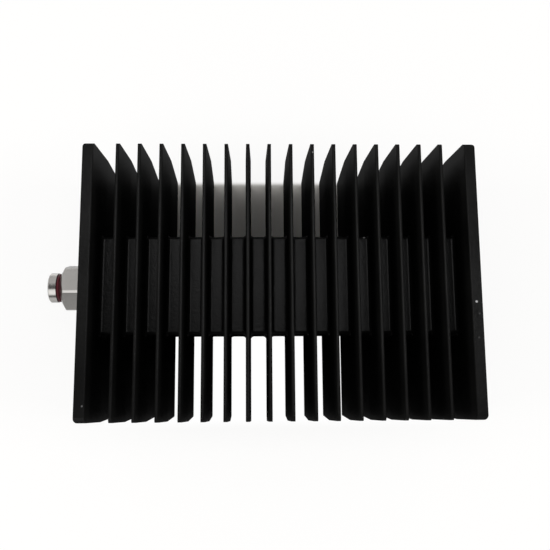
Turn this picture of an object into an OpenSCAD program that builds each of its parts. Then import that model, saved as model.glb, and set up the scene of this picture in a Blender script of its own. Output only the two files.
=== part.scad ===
/* [Fins] */
// Number of fins between the two end plates
fin_count = 16; // [8:1:22]
// Distance from one fin to the next
fin_pitch = 14; // [11:0.5:18]
// Thickness of a fin at its front and back tips
fin_tip_t = 2.2; // [1.6:0.1:3.6]
// Thickness of a fin on the parting plane
fin_mid_t = 3.7; // [2.6:0.1:5]
// Radius along the long edges of a fin tip
fin_edge_r = 0.9; // [0.2:0.1:1.2]

/* [End plates] */
// Thickness of an end plate at its front and back tips
plate_tip_t = 7; // [5:0.5:10]
// Thickness of an end plate on the parting plane
plate_mid_t = 8.4; // [6:0.2:12]
// Clear gap at the tips between an end plate and the nearest fin
end_gap = 14.2; // [10:0.2:18]
// Radius of the upright outer edges of the end plates
plate_corner_r = 3; // [1:0.5:6]

/* [Outline] */
// Height of the fins and end plates at their tips
tip_h = 178; // [140:0.5:220]
// Height of the fins and end plates on the parting plane
mid_h = 180.5; // [150:0.5:228]
// Radius of the corners at both ends of the tips, seen from the side
tip_corner_r = 3.5; // [1:0.5:8]
// Depth from the back tips to the front tips
sink_depth = 95; // [80:1:130]
// Height of the casting's parting plane above the back tips
parting_z = 52; // [30:1:70]

/* [Core] */
// Height of the core bar that carries the fins
core_h = 66; // [50:0.5:90]
// Thickness of the core bar
core_t = 26; // [24:0.5:34]
// Radius of the core bar's long edges
core_edge_r = 1.8; // [1:0.1:4]
// Radius of the fillet where a fin meets the core bar
root_r = 2.4; // [1:0.1:3]

/* [Connector port] */
// Outside diameter of the connector's mounting thread
port_d = 18; // [17:0.5:20]
// Length of the connector's mounting thread
port_len = 14; // [10:0.5:20]
// Run-out of the port past the end of the mounting thread
port_runout = 2; // [1:0.5:4]
// Diameter of the machined seat around the port
seat_d = 37; // [35:0.5:44]
// Depth of the machined seat below the end plate's face
seat_cut = 0.6; // [0.5:0.1:1.2]
// Thickness of the port seal's round section
port_seal_t = 1.4; // [1:0.1:1.6]

/* [Load bore] */
// Diameter of the bore that holds the resistor
bore_d = 16; // [14:0.5:17]
// Solid length left between the end of the bore and the far plate's face
end_wall = 34; // [26:1:60]
// Diameter of the grounding stud
stud_d = 6; // [5:0.5:7]
// Length of the grounding stud
stud_len = 12; // [8:1:18]
// Run-out of the stud's hole past the end of the stud
stud_runout = 2; // [1:0.5:4]

/* [Connector] */
// Width of the hexagon across its flats
hex_af = 28.5; // [28:0.5:31]
// Length of the hexagon
hex_len = 20.2; // [16:0.2:24]
// Turn of the hexagon about the connector's axis
hex_turn = 16; // [0:1:59]
// How far the hexagon's long corners are turned down
hex_corner_cut = 0.5; // [0.2:0.1:1]
// How far in from the corners of the hexagon its front cone reaches
hex_cone = 6.4; // [2:0.1:7]
// Angle of the front cone to the hexagon's front face
hex_cone_angle = 32; // [20:1:45]
// Outside diameter of the front sleeve
sleeve_d = 20; // [19:0.5:22]
// Length of the front sleeve from the hexagon to its mouth
sleeve_len = 7.9; // [7.8:0.1:14]
// Chamfer at the mouth of the sleeve
mouth_chamfer = 0.7; // [0.3:0.1:1]
// Inside diameter of the sleeve's mouth
mouth_d = 15; // [14:0.5:16]
// Depth of the sleeve's mouth
mouth_len = 4.4; // [3:0.1:4.6]
// Inside diameter of the line behind the mouth
neck_d = 10; // [9:0.1:11]
// Thickness of the front ring's round section
front_ring_t = 2; // [1.6:0.1:2.4]
// Outside diameter of the front ring
front_ring_d = 19.2; // [19:0.1:20]
// Extra width of the groove around the front ring
ring_play = 0.5; // [0.3:0.1:1.2]

/* [Contact] */
// Outside diameter of the insulating bead
bead_d = 14; // [12:0.5:15]
// Length of the insulating bead
bead_len = 9; // [6:0.5:11]
// Distance of the bead's front face behind the hexagon's front face
bead_set = 6.5; // [5:0.5:8]
// Inside diameter of the bush that holds the bead
bush_bore_d = 10.5; // [9:0.5:11.5]
// Outside diameter of the centre contact
contact_d = 4.3; // [4:0.1:5]
// Diameter of the hole in the contact's socket
socket_d = 2.8; // [2.4:0.1:3.2]
// Depth of the hole in the contact's socket
socket_len = 8; // [6:0.5:10]
// Width of the four slots in the contact's socket
slot_w = 0.5; // [0.3:0.1:0.8]
// Distance of the contact's front end behind the bottom of the mouth
contact_set = 0.4; // [0.2:0.1:1]
// Diameter of the collar that stops the contact behind the bead
collar_d = 6.5; // [6:0.5:8]
// Length of the collar
collar_len = 1.5; // [1:0.1:3]
// Diameter of the contact's rear pin
pin_d = 3; // [2.4:0.1:3.4]
// Length of the contact's rear pin
pin_len = 9; // [6:0.5:11]

/* [Resistor] */
// Outside diameter of the resistor rod
rod_d = 8; // [6:0.5:9]
// Inside diameter of the hollow resistor rod
rod_bore_d = 4; // [3:0.5:5]
// Wall of the metal cups on the ends of the rod
cup_wall = 1.2; // [0.8:0.1:1.6]
// Depth of the cups, which is how far they overlap the rod
cup_len = 10; // [6:0.5:14]
// Thickness of the floor of a cup
cup_floor = 4; // [2:0.5:6]
// Diameter of the input cup's nose
nose_d = 5.6; // [5:0.1:6.4]
// Length of the input cup's nose
nose_len = 15; // [13:0.5:20]
// Length of the cone from the nose to the input cup
cone_len = 9; // [6:0.5:14]
// Distance between a cup and the end of the heat-spreading sleeve
sleeve_end_gap = 2; // [1:0.5:4]

/* [Fits] */
// Radial clearance of pieces that slide into a bore
fit_gap = 0.1; // [0.05:0.01:0.2]
// Clearance between a contact's end face and the piece behind it
end_clear = 1; // [0.5:0.1:2]

/* [Hidden] */
$fn = 64;
corner_steps = 5;
past = 1;
least_flat = 0.2;
end_slack = 0.2;

// The casting: widths across the end plates and the places of the fins
fins_w = (fin_count - 1) * fin_pitch;
tip_w = fins_w + fin_tip_t + 2 * (end_gap + plate_tip_t);
mid_w = tip_w + plate_mid_t - plate_tip_t;
plate_x = (tip_w - plate_tip_t) / 2;
tip_r = min(fin_edge_r, (fin_tip_t - least_flat) / 2);

// Places along the connector's axis, measured from its seat, + towards the far plate
hex_front = -hex_len;
mouth_front = hex_front - sleeve_len;
mouth_floor = mouth_front + mouth_len;
groove_w = front_ring_t + ring_play;
bead_front = hex_front + bead_set;
bead_back = bead_front + bead_len;
contact_front = mouth_floor + contact_set;
pin_front = bead_back + collar_len;
pin_back = pin_front + pin_len;
nose_front = pin_front + end_clear;
cone_front = nose_front + nose_len;
cup_front = cone_front + cone_len;
rod_front = cup_front + cup_floor;
bore_back = mid_w - seat_cut - end_wall;
rod_back = bore_back - cup_floor;
cup_d = rod_d + 2 * (fit_gap + cup_wall);
hex_ac = hex_af / cos(30);
cone_r = hex_ac / 2 - hex_cone;

// The part's frame: its box is centred on the origin and stands on z = 0
seat_x = (seat_cut - mid_w - mouth_front) / 2;
sink_x = seat_x - seat_cut + mid_w / 2;
axis_z = parting_z;

// Points along an arc
function arc(x, y, r, from, to) =
    [for (i = [0 : corner_steps])
        let (a = from + (to - from) * i / corner_steps) [x + r * cos(a), y + r * sin(a)]];

// Outline of a rectangle with round corners
function round_rect(w, h, r) =
    concat(arc(w / 2 - r, h / 2 - r, r, 0, 90), arc(r - w / 2, h / 2 - r, r, 90, 180),
           arc(r - w / 2, r - h / 2, r, 180, 270), arc(w / 2 - r, r - h / 2, r, 270, 360));

// Section that is widest on the parting plane and drafted to both tips, with round corners
function drafted_section(tip_t, mid_t, r) =
    concat([[mid_t / 2, parting_z]], arc(tip_t / 2 - r, sink_depth - r, r, 0, 90),
           arc(r - tip_t / 2, sink_depth - r, r, 90, 180), [[-mid_t / 2, parting_z]],
           arc(r - tip_t / 2, r, r, 180, 270), arc(tip_t / 2 - r, r, r, 270, 360));

// Section of the two fillets beside a web that stands on a flat face at y = 0
function fillet_section(web_t) =
    let (foot = web_t / 2 + root_r)
    concat([[-foot, -past], [foot, -past]], arc(foot, root_r, root_r, 270, 180),
           arc(-foot, root_r, root_r, 360, 270));

// Places children on the middle of the casting, with z = 0 at its back tips
module at_sink() {
    translate([sink_x, 0, 0]) children();
}

// Turns children from z to the connector's axis, with z = 0 at the seat
module on_axis() {
    translate([seat_x, 0, axis_z]) rotate([0, 90, 0]) children();
}

// A round hole or bar along z between two places
module bar(d, from, to) {
    translate([0, 0, from]) cylinder(d = d, h = to - from);
}

// A fin that runs over the whole height, before its ends are drafted
module drafted_web(x, tip_t, mid_t) {
    translate([x, 0, 0])
        rotate([90, 0, 0])
            linear_extrude(height = mid_h + 2 * past, center = true)
                polygon(drafted_section(tip_t, mid_t, tip_r));
}

// An end plate with its drafted inner face, whose other faces are left to the envelope
module plate_block(side) {
    inner_tip = tip_w / 2 - plate_tip_t;
    inner_mid = mid_w / 2 - plate_mid_t;
    outer = mid_w / 2 + past;
    r = fin_edge_r;
    mirror([side, 0, 0])
        rotate([90, 0, 0])
            linear_extrude(height = mid_h + 2 * past, center = true)
                polygon(concat([[inner_mid, parting_z]], arc(inner_tip + r, r, r, 180, 270),
                               [[outer, 0], [outer, sink_depth]],
                               arc(inner_tip + r, sink_depth - r, r, 90, 180)));
}

// Half of the space inside the plates' outer faces, from the parting plane to one set of tips
module envelope_half(depth) {
    wide_h = mid_h + 2 * end_slack;
    narrow_h = tip_h + 2 * end_slack;
    linear_extrude(height = depth, scale = [tip_w / mid_w, narrow_h / wide_h], slices = 1, segments = 1)
        polygon(round_rect(mid_w, wide_h, plate_corner_r));
}

// Space inside the plates' outer faces: drafted both ways, with round upright edges
module envelope() {
    translate([0, 0, parting_z]) {
        envelope_half(sink_depth - parting_z);
        mirror([0, 0, 1]) envelope_half(parting_z);
    }
}

// Side view that all fins and plates share: drafted ends with round corners
module side_view() {
    rotate([90, 0, 90])
        linear_extrude(height = mid_w + 2 * past, center = true)
            polygon(drafted_section(tip_h, mid_h, tip_corner_r));
}

// Core bar from plate to plate
module core_bar() {
    translate([0, 0, axis_z])
        rotate([90, 0, 90])
            linear_extrude(height = 2 * plate_x, center = true)
                polygon(round_rect(core_h, core_t, core_edge_r));
}

// Fillets on the four sides of the core bar where it meets a fin or plate
module root_fillets(x, tip_t, mid_t) {
    reach = (core_t / 2 + root_r) / (sink_depth - parting_z);
    root_t = mid_t + (tip_t - mid_t) * reach;
    for (side = [0 : 3]) {
        across = side % 2 == 0 ? core_t : core_h;
        along = side % 2 == 0 ? core_h : core_t;
        translate([x, 0, axis_z])
            rotate([90 * side, 0, 0])
                translate([0, 0, across / 2])
                    rotate([90, 0, 0])
                        linear_extrude(height = along - 2 * core_edge_r, center = true)
                            polygon(fillet_section(root_t));
    }
}

// One-piece cast heat sink with the connector's port and the resistor's bore
module heat_sink() {
    fin_at = [for (i = [0 : fin_count - 1]) i * fin_pitch - fins_w / 2];
    color([0.07, 0.07, 0.075])
        difference() {
            at_sink()
                intersection() {
                    union() {
                        for (x = fin_at) {
                            drafted_web(x, fin_tip_t, fin_mid_t);
                            root_fillets(x, fin_tip_t, fin_mid_t);
                        }
                        for (side = [0, 1]) {
                            plate_block(side);
                            root_fillets((1 - 2 * side) * plate_x, plate_tip_t, plate_mid_t);
                        }
                        core_bar();
                    }
                    envelope();
                    side_view();
                }
            on_axis() {
                bar(seat_d, -seat_cut - past, 0);
                bar(port_d + 2 * port_seal_t + 4 * fit_gap, -past, port_seal_t + fit_gap);
                bar(port_d + 2 * fit_gap, -past, port_len + port_runout);
                bar(bore_d, 0, bore_back);
                bar(stud_d + 2 * fit_gap, 0, bore_back + stud_len + stud_runout);
            }
        }
}

// Hexagon with turned corners and a cone on its front end
module hexagon() {
    corner_r = hex_ac / 2 - hex_corner_cut;
    rise = (corner_r - cone_r) * tan(hex_cone_angle);
    intersection() {
        translate([0, 0, hex_front])
            linear_extrude(height = hex_len)
                rotate(hex_turn) circle(d = hex_ac, $fn = 6);
        rotate_extrude()
            polygon([[0, hex_front], [cone_r, hex_front], [corner_r, hex_front + rise],
                     [corner_r, past], [0, past]]);
    }
}

// Turned connector shell: mounting thread, hexagon, ring groove and front sleeve
module connector_body() {
    groove_r = front_ring_d / 2 - front_ring_t - fit_gap;
    color([0.72, 0.71, 0.69])
        on_axis()
            difference() {
                union() {
                    hexagon();
                    bar(port_d, -past, port_len);
                    rotate_extrude()
                        polygon([[0, hex_front + past], [groove_r, hex_front + past],
                                 [groove_r, hex_front - groove_w],
                                 [sleeve_d / 2, hex_front - groove_w],
                                 [sleeve_d / 2, mouth_front + mouth_chamfer],
                                 [sleeve_d / 2 - mouth_chamfer, mouth_front], [0, mouth_front]]);
                }
                bar(mouth_d, mouth_front - past, mouth_floor);
                bar(neck_d, mouth_front, bead_back);
                bar(bead_d + 2 * fit_gap, bead_front, port_len + past);
            }
}

// Ring with a round section
module seal_ring(inner_d, t, z) {
    translate([0, 0, z])
        rotate_extrude()
            translate([(inner_d + t) / 2, 0]) circle(d = t);
}

// Red ring in the groove between the hexagon and the front sleeve
module front_ring() {
    color([0.42, 0.05, 0.08])
        on_axis()
            seal_ring(front_ring_d - 2 * front_ring_t, front_ring_t,
                      hex_front - groove_w + fit_gap + front_ring_t / 2);
}

// Ring that seals the hexagon against the end plate
module port_seal() {
    color([0.06, 0.06, 0.06])
        on_axis()
            seal_ring(port_d + 2 * fit_gap, port_seal_t, port_seal_t / 2 + fit_gap / 2);
}

// Insulating bead that centres the contact
module contact_bead() {
    color([0.93, 0.93, 0.9])
        on_axis()
            difference() {
                bar(bead_d, bead_front, bead_back);
                bar(contact_d + 2 * fit_gap, bead_front - past, bead_back + past);
            }
}

// Bush behind the bead, flush with the end of the mounting thread
module bead_bush() {
    color([0.78, 0.62, 0.32])
        on_axis()
            difference() {
                bar(bead_d, bead_back, port_len);
                bar(bush_bore_d, bead_back - past, port_len + past);
            }
}

// Centre contact: slotted socket in front, collar against the bead, pin behind
module centre_contact() {
    slot_len = socket_len - slot_w;
    color([0.83, 0.66, 0.3])
        on_axis()
            difference() {
                union() {
                    bar(contact_d, contact_front, bead_back);
                    bar(collar_d, bead_back, pin_front);
                    bar(pin_d, bead_back, pin_back);
                }
                bar(socket_d, contact_front - past, contact_front + socket_len);
                for (turn = [0, 90])
                    rotate(turn)
                        translate([-slot_w / 2, -contact_d, contact_front - past])
                            cube([slot_w, 2 * contact_d, slot_len + past]);
            }
}

// Input cup: a nose that takes the contact's pin, a cone and a cup over the rod's end
module input_cup() {
    color([0.75, 0.74, 0.72])
        on_axis()
            difference() {
                rotate_extrude()
                    polygon([[0, nose_front], [nose_d / 2, nose_front], [nose_d / 2, cone_front],
                             [cup_d / 2, cup_front], [cup_d / 2, rod_front + cup_len],
                             [0, rod_front + cup_len]]);
                bar(pin_d + 2 * fit_gap, nose_front - past, pin_back + end_clear);
                bar(rod_d + 2 * fit_gap, rod_front, rod_front + cup_len + past);
            }
}

// Hollow ceramic rod with the resistive film
module resistor_rod() {
    color([0.3, 0.26, 0.24])
        on_axis()
            difference() {
                bar(rod_d, rod_front, rod_back);
                bar(rod_bore_d, rod_front - past, rod_back + past);
            }
}

// Ceramic sleeve that carries the rod's heat to the core bar
module heat_spreader() {
    color([0.86, 0.85, 0.8])
        on_axis()
            difference() {
                bar(bore_d - 2 * fit_gap, rod_front + cup_len + sleeve_end_gap,
                    rod_back - cup_len - sleeve_end_gap);
                bar(rod_d + 2 * fit_gap, rod_front, rod_back);
            }
}

// Ground cup on the rod's far end, with a stud in the end of the bore
module ground_cup() {
    color([0.75, 0.74, 0.72])
        on_axis()
            difference() {
                union() {
                    bar(cup_d, rod_back - cup_len, bore_back);
                    bar(stud_d, rod_back, bore_back + stud_len);
                }
                bar(rod_d + 2 * fit_gap, rod_back - cup_len - past, rod_back);
            }
}

heat_sink();
connector_body();
front_ring();
port_seal();
contact_bead();
bead_bush();
centre_contact();
input_cup();
resistor_rod();
heat_spreader();
ground_cup();
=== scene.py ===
import math

import bpy
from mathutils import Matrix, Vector


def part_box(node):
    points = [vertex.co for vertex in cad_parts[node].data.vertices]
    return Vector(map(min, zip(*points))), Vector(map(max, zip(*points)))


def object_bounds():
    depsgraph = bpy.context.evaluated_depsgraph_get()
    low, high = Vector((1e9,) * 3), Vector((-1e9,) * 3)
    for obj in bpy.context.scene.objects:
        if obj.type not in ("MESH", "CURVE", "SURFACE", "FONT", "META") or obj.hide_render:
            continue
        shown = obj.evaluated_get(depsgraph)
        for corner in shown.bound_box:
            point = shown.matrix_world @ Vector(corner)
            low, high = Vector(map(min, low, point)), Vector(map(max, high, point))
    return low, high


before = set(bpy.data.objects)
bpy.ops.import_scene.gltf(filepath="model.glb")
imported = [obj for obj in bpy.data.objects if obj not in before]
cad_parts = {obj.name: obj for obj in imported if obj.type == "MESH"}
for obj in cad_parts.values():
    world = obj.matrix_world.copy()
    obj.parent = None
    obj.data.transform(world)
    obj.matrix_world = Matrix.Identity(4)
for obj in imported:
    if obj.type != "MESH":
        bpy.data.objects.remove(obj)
cad_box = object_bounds()
scene = bpy.context.scene
scene.view_settings.view_transform = "Standard"

MM = 0.001
ground = cad_box[0].z
sink_low, sink_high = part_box("heat_sink")
half_width = (sink_high.x - sink_low.x) / 2
tips_middle = Vector(((sink_low.x + sink_high.x) / 2, 0, sink_high.z))

# Camera: its place in mm from the middle of the front tips, its turns in degrees, its lens and sensor in mm
CAMERA_FROM_TIPS = Vector((-17.506, -67.609, 442.363))
CAMERA_TILT = 8.925
CAMERA_YAW = -1.738
CAMERA_ROLL = -0.143
CAMERA_LENS = 46.516
CAMERA_SENSOR = 36


def make_camera():
    """Camera at the photograph's place, looking down on the fin tips."""
    data = bpy.data.cameras.new("camera")
    data.lens = CAMERA_LENS
    data.sensor_width = CAMERA_SENSOR
    camera = bpy.data.objects.new("camera", data)
    camera.rotation_mode = "ZYX"
    camera.location = tips_middle + CAMERA_FROM_TIPS * MM
    camera.rotation_euler = [math.radians(a) for a in (CAMERA_TILT, CAMERA_YAW, CAMERA_ROLL)]
    scene.collection.objects.link(camera)
    scene.camera = camera


# Places of the colours among the sockets of a mix node
COLOUR_A = 6
COLOUR_B = 7
COLOUR_OUT = 2


def add(owner, kind, **values):
    """A new node in a material or world. Values name its properties or, failing that, its input sockets."""
    node = owner.node_tree.nodes.new(kind)
    for name, value in values.items():
        if hasattr(node, name):
            setattr(node, name, value)
        else:
            node.inputs[name.replace("_", " ")].default_value = value
    return node


def join(owner, source, target):
    """Links an output socket to an input socket."""
    owner.node_tree.links.new(source, target)


def grey(level):
    """A neutral colour."""
    return (level, level, level, 1)


def set_stops(ramp, stops):
    """Gives a colour ramp its stops, as pairs of place and colour."""
    elements = ramp.color_ramp.elements
    while len(elements) < len(stops):
        elements.new(0.5)
    for element, (place, colour) in zip(elements, stops):
        element.position = place
        element.color = colour


# Floor: its side and its drop below the part in metres, and its colour for light that falls on the part, as
# it is mirrored just beyond the upper tips, where painted light makes it paler in reflections, and as the
# camera sees it
FLOOR_SIDE = 8.0
FLOOR_DROP = 0.1 * MM
FLOOR_LIT = 0.8
FLOOR_MIRRORED_PAINTED_LIGHT = 1.45
FLOOR_SEEN = (1.05, 1.02, 0.96, 1)
# The photograph's ground is cut out in white but for the shade between the upper fins. Share of plain white
# that the camera sees on the open floor, and under the part by the distance in mm from its middle, + to the
# upper side
OPEN_WHITE = 0.87
# Painted light: under the lower half of the part the white covers the shade between the fins, and under the
# core it fades out to the real shade
UNDER_PAINTED_WHITE = ((-98, OPEN_WHITE), (-92, 1), (-29, 1), (43, 0), (87.2, 0), (90.5, OPEN_WHITE))
# Share of the painted light on the mirrored floor beyond the upper tips, by the same distance
PAINTED_LIGHT_BEYOND_TIPS = ((50, 0), (85, 1), (140, 1), (190, 0))
# How far these distances reach either way, and the width of the step at the part's sides, in mm
UNDER_REACH = 200
UNDER_EDGE = 1


def share_by_distance(owner, distance, stops):
    """Socket with a share that changes with the distance from the part's middle, by stops in mm."""
    reach = UNDER_REACH * MM
    along = add(owner, "ShaderNodeMapRange", From_Min=-reach, From_Max=reach)
    ramp = add(owner, "ShaderNodeValToRGB")
    set_stops(ramp, [((y / UNDER_REACH + 1) / 2, grey(share)) for y, share in stops])
    join(owner, distance, along.inputs["Value"])
    join(owner, along.outputs["Result"], ramp.inputs["Fac"])
    return ramp.outputs["Color"]


def floor_colour(material, path, axes):
    """Socket with the floor's colour for light on the part, for mirrored rays with painted light beyond the
    upper tips, and for the camera.
    """
    clear = add(material, "ShaderNodeMath", operation="MAXIMUM")
    painted_light_share = add(material, "ShaderNodeMath", operation="MULTIPLY")
    level = add(material, "ShaderNodeMapRange", To_Min=FLOOR_LIT, To_Max=FLOOR_MIRRORED_PAINTED_LIGHT)
    colour = add(material, "ShaderNodeMix", data_type="RGBA")
    colour.inputs[COLOUR_B].default_value = FLOOR_SEEN
    join(material, path["Is Glossy Ray"], clear.inputs[0])
    join(material, path["Is Transmission Ray"], clear.inputs[1])
    join(material, clear.outputs[0], painted_light_share.inputs[0])
    # Painted light: mirrored rays see the floor paler beyond the upper tips
    join(material, share_by_distance(material, axes["Y"], PAINTED_LIGHT_BEYOND_TIPS), painted_light_share.inputs[1])
    join(material, painted_light_share.outputs[0], level.inputs["Value"])
    join(material, path["Is Camera Ray"], colour.inputs["Factor"])
    join(material, level.outputs["Result"], colour.inputs[COLOUR_A])
    return colour.outputs[COLOUR_OUT]


def painted_white_share(material, path, axes):
    """Socket with the share of white that the camera sees, under the part and beside it, which is painted
    light over the shade between the lower fins.
    """
    offset = add(material, "ShaderNodeMath", operation="SUBTRACT")
    offset.inputs[1].default_value = tips_middle.x
    across = add(material, "ShaderNodeMath", operation="ABSOLUTE")
    beside = add(material, "ShaderNodeMapRange", From_Min=half_width - UNDER_EDGE * MM, From_Max=half_width)
    share = add(material, "ShaderNodeMix", data_type="RGBA")
    share.inputs[COLOUR_B].default_value = grey(OPEN_WHITE)
    shown = add(material, "ShaderNodeMath", operation="MULTIPLY")
    join(material, axes["X"], offset.inputs[0])
    join(material, offset.outputs[0], across.inputs[0])
    join(material, across.outputs[0], beside.inputs["Value"])
    join(material, beside.outputs["Result"], share.inputs["Factor"])
    join(material, share_by_distance(material, axes["Y"], UNDER_PAINTED_WHITE), share.inputs[COLOUR_A])
    join(material, share.outputs[COLOUR_OUT], shown.inputs[0])
    join(material, path["Is Camera Ray"], shown.inputs[1])
    return shown.outputs[0]


def make_floor():
    """Plain pale floor that keeps the object's shadow, with the photograph's white over most of it."""
    bpy.ops.mesh.primitive_plane_add(size=FLOOR_SIDE, location=(0, 0, ground - FLOOR_DROP))
    floor = bpy.context.object
    floor.name = "floor"
    material = bpy.data.materials.new("floor")
    material.use_nodes = True
    nodes = material.node_tree.nodes
    nodes.remove(nodes["Principled BSDF"])
    path = add(material, "ShaderNodeLightPath").outputs
    place = add(material, "ShaderNodeTexCoord")
    axes = add(material, "ShaderNodeSeparateXYZ")
    diffuse = add(material, "ShaderNodeBsdfDiffuse")
    white = add(material, "ShaderNodeEmission")
    painted_white_mix = add(material, "ShaderNodeMixShader")
    join(material, place.outputs["Object"], axes.inputs[0])
    join(material, floor_colour(material, path, axes.outputs), diffuse.inputs["Color"])
    join(material, painted_white_share(material, path, axes.outputs), painted_white_mix.inputs["Fac"])
    join(material, diffuse.outputs["BSDF"], painted_white_mix.inputs[1])
    join(material, white.outputs["Emission"], painted_white_mix.inputs[2])
    join(material, painted_white_mix.outputs["Shader"], nodes["Material Output"].inputs["Surface"])
    floor.data.materials.append(material)


# Sky: its level by the angle in degrees from straight up, + towards the upper side of the picture
SKY = ((-90, 0.58), (-84, 0.58), (-82, 0.02), (-75, 0.02), (-70, 0.5), (-25, 0.5), (-15, 0.12), (18, 0.12),
       (30, 0.7), (90, 0.7))
# It is dimmer in a strip along the fins: how far to either side the strip starts to fade and ends, as the X
# of a direction, and the share of the level that is left in it
SKY_STRIP = (0.06, 0.22)
SKY_STRIP_LEVEL = 0.3


def make_sky():
    """Soft light from all sides, dimmer straight above, with a white background behind the floor."""
    world = bpy.data.worlds.new("sky")
    world.use_nodes = True
    scene.world = world
    background = world.node_tree.nodes["Background"]
    place = add(world, "ShaderNodeTexCoord")
    axes = add(world, "ShaderNodeSeparateXYZ")
    angle = add(world, "ShaderNodeMath", operation="ARCTAN2")
    turn = add(world, "ShaderNodeMapRange", From_Min=-math.pi, From_Max=math.pi)
    ramp = add(world, "ShaderNodeValToRGB")
    set_stops(ramp, [((a + 180) / 360, grey(level)) for a, level in SKY])
    across = add(world, "ShaderNodeMath", operation="ABSOLUTE")
    strip = add(world, "ShaderNodeMapRange", From_Min=SKY_STRIP[0], From_Max=SKY_STRIP[1],
                To_Min=SKY_STRIP_LEVEL)
    level = add(world, "ShaderNodeVectorMath", operation="SCALE")
    path = add(world, "ShaderNodeLightPath")
    seen = add(world, "ShaderNodeMix", data_type="RGBA")
    seen.inputs[COLOUR_B].default_value = grey(1)
    join(world, place.outputs["Generated"], axes.inputs[0])
    join(world, axes.outputs["Y"], angle.inputs[0])
    join(world, axes.outputs["Z"], angle.inputs[1])
    join(world, angle.outputs[0], turn.inputs["Value"])
    join(world, turn.outputs["Result"], ramp.inputs["Fac"])
    join(world, axes.outputs["X"], across.inputs[0])
    join(world, across.outputs[0], strip.inputs["Value"])
    join(world, ramp.outputs["Color"], level.inputs[0])
    join(world, strip.outputs["Result"], level.inputs["Scale"])
    join(world, path.outputs["Is Camera Ray"], seen.inputs["Factor"])
    join(world, level.outputs[0], seen.inputs[COLOUR_A])
    join(world, seen.outputs[COLOUR_OUT], background.inputs["Color"])


# Lamps: name, place, aim, width and height in metres, power in watts, and whether reflections show the lamp
PART_MIDDLE = (0, 0, 0.05)
JACK_END = (-0.13, 0, 0.05)
LAMPS = (
    ("left", (-1.2, -0.1, 1.15), PART_MIDDLE, 0.7, 0.7, 10, False),
    ("right", (1.2, -0.1, 1.15), PART_MIDDLE, 0.7, 0.7, 10, False),
    ("top", (0.08, 0.26, 1.295), PART_MIDDLE, 0.8, 0.12, 1.65, True),
    ("middle", (0.05, 0.11, 1.3), PART_MIDDLE, 0.9, 0.18, 0.7, True),
    ("front", (-0.42, -0.73, 0.96), JACK_END, 0.4, 1.0, 1.35, True),
)


def make_lamp(name, at, aim, width, height, watts, mirrored):
    """Rectangular lamp at a place, turned to an aim point."""
    data = bpy.data.lights.new(name, "AREA")
    data.shape = "RECTANGLE"
    data.size = width
    data.size_y = height
    data.energy = watts
    lamp = bpy.data.objects.new(name, data)
    lamp.location = at
    lamp.rotation_mode = "QUATERNION"
    lamp.rotation_quaternion = (Vector(aim) - Vector(at)).to_track_quat("-Z", "Y")
    lamp.visible_glossy = mirrored
    scene.collection.objects.link(lamp)


make_camera()
make_floor()
make_sky()
for lamp_values in LAMPS:
    make_lamp(*lamp_values)

# All finishes: where the two tones of a surface lie on its noise, how far its polish varies either way, the
# layers of noise in its patches and its grain, and the strength of the grain
TONE_STOPS = (0.35, 0.65)
POLISH_SPREAD = 0.15
PATCH_LAYERS = 4
GRAIN_LAYERS = 3
GRAIN_STRENGTH = 0.5


def new_material(name, **sockets):
    """A material and its shader, with the sockets that are the same all over set directly."""
    material = bpy.data.materials.new(name)
    material.use_nodes = True
    shader = material.node_tree.nodes["Principled BSDF"]
    for socket, value in sockets.items():
        shader.inputs[socket.replace("_", " ")].default_value = value
    return material, shader


def dress(material, shader, tones, patch_size, roughness, grain_size, grain_depth):
    """Uneven tone, uneven polish and a fine grain, with sizes in mm. Returns the tone's output."""
    place = add(material, "ShaderNodeTexCoord")
    patches = add(material, "ShaderNodeTexNoise", Scale=1 / (patch_size * MM), Detail=PATCH_LAYERS)
    grain = add(material, "ShaderNodeTexNoise", Scale=1 / (grain_size * MM), Detail=GRAIN_LAYERS)
    tone = add(material, "ShaderNodeValToRGB")
    set_stops(tone, [(stop, (*colour, 1)) for stop, colour in zip(TONE_STOPS, tones)])
    polish = add(material, "ShaderNodeMapRange", To_Min=roughness * (1 - POLISH_SPREAD),
                 To_Max=roughness * (1 + POLISH_SPREAD))
    bump = add(material, "ShaderNodeBump", Strength=GRAIN_STRENGTH, Distance=grain_depth * MM)
    join(material, place.outputs["Object"], patches.inputs["Vector"])
    join(material, place.outputs["Object"], grain.inputs["Vector"])
    join(material, patches.outputs["Fac"], tone.inputs["Fac"])
    join(material, patches.outputs["Fac"], polish.inputs["Value"])
    join(material, grain.outputs["Fac"], bump.inputs["Height"])
    join(material, polish.outputs["Result"], shader.inputs["Roughness"])
    join(material, bump.outputs["Normal"], shader.inputs["Normal"])
    join(material, bump.outputs["Normal"], shader.inputs["Coat Normal"])
    join(material, tone.outputs["Color"], shader.inputs["Base Color"])
    return tone.outputs["Color"]


COAT_TONES = ((0.0038, 0.0038, 0.0037), (0.0062, 0.0062, 0.006))
# Chips in the coat that show in the photograph, and as the fourth a painted highlight on the upper rounded
# edge of
# the core: places in mm from the middle of the front tips, radii in mm and tones, and the share of the
# radius that has the full tone
CHIPS_AND_HIGHLIGHT = (
    ((123.5, -15.4, 0), 0.9, 0.42),
    ((125.0, -23.0, 0), 0.8, 0.035),
    ((123.9, -38.1, 0), 0.8, 0.035),
    # This pale spot on the upper rounded edge of the core is a painted highlight
    ((58.1, 32.4, -30.4), 0.9, 0.85),
    ((-122.0, -78.6, 0), 0.7, 0.1),
    ((21.2, 82.5, 0), 0.6, 0.2),
)
SPOT_CORE = 0.6


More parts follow.
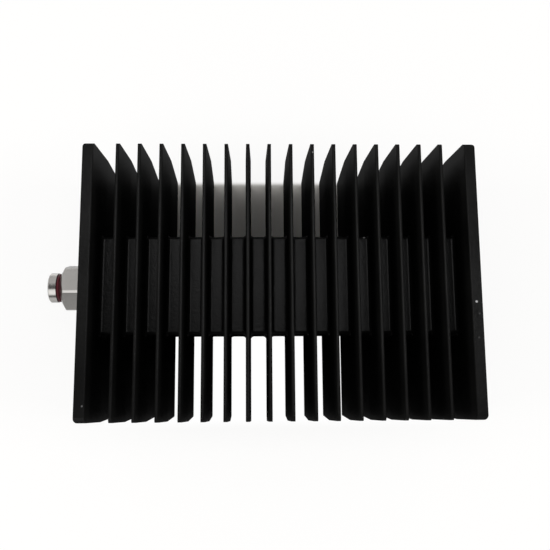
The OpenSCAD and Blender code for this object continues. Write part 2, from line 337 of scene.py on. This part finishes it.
def add_spot(material, place, colour, at, radius, tone):
    """A round spot of another tone over a colour socket. Returns the new colour's socket."""
    gap = add(material, "ShaderNodeVectorMath", operation="DISTANCE")
    gap.inputs[1].default_value = tips_middle + Vector(at) * MM
    spot = add(material, "ShaderNodeMapRange", From_Min=radius * SPOT_CORE * MM, From_Max=radius * MM,
               To_Min=1.0, To_Max=0.0)
    blend = add(material, "ShaderNodeMix", data_type="RGBA")
    blend.inputs[COLOUR_B].default_value = grey(tone)
    join(material, place, gap.inputs[0])
    join(material, gap.outputs["Value"], spot.inputs["Value"])
    join(material, spot.outputs["Result"], blend.inputs["Factor"])
    join(material, colour, blend.inputs[COLOUR_A])
    return blend.outputs[COLOUR_OUT]


def black_coat():
    """Satin black coat on cast metal, with a few pale chips and a painted highlight on the core's upper
    edge.
    """
    material, shader = new_material("black_coat", Specular_IOR_Level=0.0, Coat_Weight=0.065, Coat_IOR=2.5,
                                    Coat_Roughness=0.3)
    colour = dress(material, shader, COAT_TONES, patch_size=25, roughness=0.38, grain_size=2.0,
                   grain_depth=0.25)
    place = add(material, "ShaderNodeTexCoord").outputs["Object"]
    for at, radius, tone in CHIPS_AND_HIGHLIGHT:
        colour = add_spot(material, place, colour, at, radius, tone)
    join(material, colour, shader.inputs["Base Color"])
    return material


# How much paler the second tone of a surface is
METAL_PALER = 1.06
MATT_PALER = 1.12


def two_tones(colour, paler):
    """A colour and a paler one."""
    return colour, tuple(min(1, c * paler) for c in colour)


def metal(name, colour, roughness):
    """Plated or bare metal with a slightly uneven tone and polish."""
    material, shader = new_material(name, Metallic=1.0)
    tones = two_tones(colour, METAL_PALER)
    dress(material, shader, tones, patch_size=6, roughness=roughness, grain_size=0.3, grain_depth=0.001)
    return material


def matt(name, colour, roughness, grain_depth):
    """Rubber, plastic or ceramic with a slightly uneven tone and a fine grain."""
    material, shader = new_material(name)
    tones = two_tones(colour, MATT_PALER)
    dress(material, shader, tones, patch_size=5, roughness=roughness, grain_size=0.25,
          grain_depth=grain_depth)
    return material


SILVER = metal("silver_plate", (0.6, 0.59, 0.57), 0.28)
FINISHES = {
    "heat_sink": black_coat(),
    "connector_body": metal("plated_shell", (0.5, 0.485, 0.465), 0.2),
    "front_ring": matt("red_silicone", (0.09, 0.004, 0.012), 0.5, 0.005),
    "port_seal": matt("black_rubber", (0.012, 0.012, 0.012), 0.6, 0.005),
    "contact_bead": matt("white_bead", (0.78, 0.78, 0.75), 0.4, 0.003),
    "bead_bush": metal("bare_brass", (0.7, 0.5, 0.22), 0.3),
    "centre_contact": metal("gold_contact", (0.83, 0.6, 0.25), 0.2),
    "input_cup": SILVER,
    "resistor_rod": matt("resistor_film", (0.05, 0.038, 0.033), 0.55, 0.006),
    "heat_spreader": matt("white_ceramic", (0.74, 0.73, 0.69), 0.5, 0.006),
    "ground_cup": SILVER,
}
for node, finish in FINISHES.items():
    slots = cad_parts[node].data.materials
    slots.clear()
    slots.append(finish)
